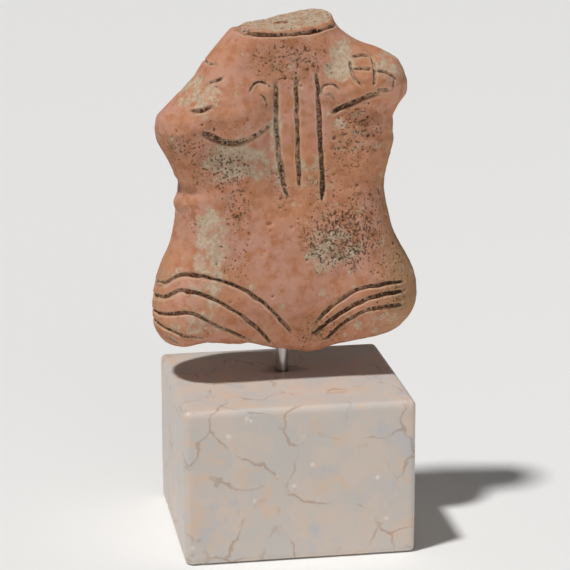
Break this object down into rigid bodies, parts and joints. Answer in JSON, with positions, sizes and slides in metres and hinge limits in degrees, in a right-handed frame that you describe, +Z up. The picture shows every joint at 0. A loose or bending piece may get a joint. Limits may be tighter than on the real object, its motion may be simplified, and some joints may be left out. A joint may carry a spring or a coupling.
{
  "type": "clay torso figurine on a block",
  "caption": "Flat fired-clay female torso with incised furrows, broken at neck, arms and legs, held by a steel rod over a marble block.",
  "frame": {"origin": "middle of the flat underside of the block, where it stands on a shelf", "axes": "+Z is up, -Y is the front that bears the furrows, +X is to the viewer's right"},
  "size_m": [0.0857, 0.0644, 0.166],
  "materials": {
    "fired_clay": "matt salmon-orange fired clay with pale lime crust and dark brown speckles",
    "brushed_rod": "bright drawn steel rod",
    "honed_marble": "honed pale pinkish-beige marble with faint orange-brown veins and a few white pits"
  },
  "bodies": {
    "root": {"torso": "fired_clay", "rod": "brushed_rod", "base_block": "honed_marble"}
  },
  "joints": []
}
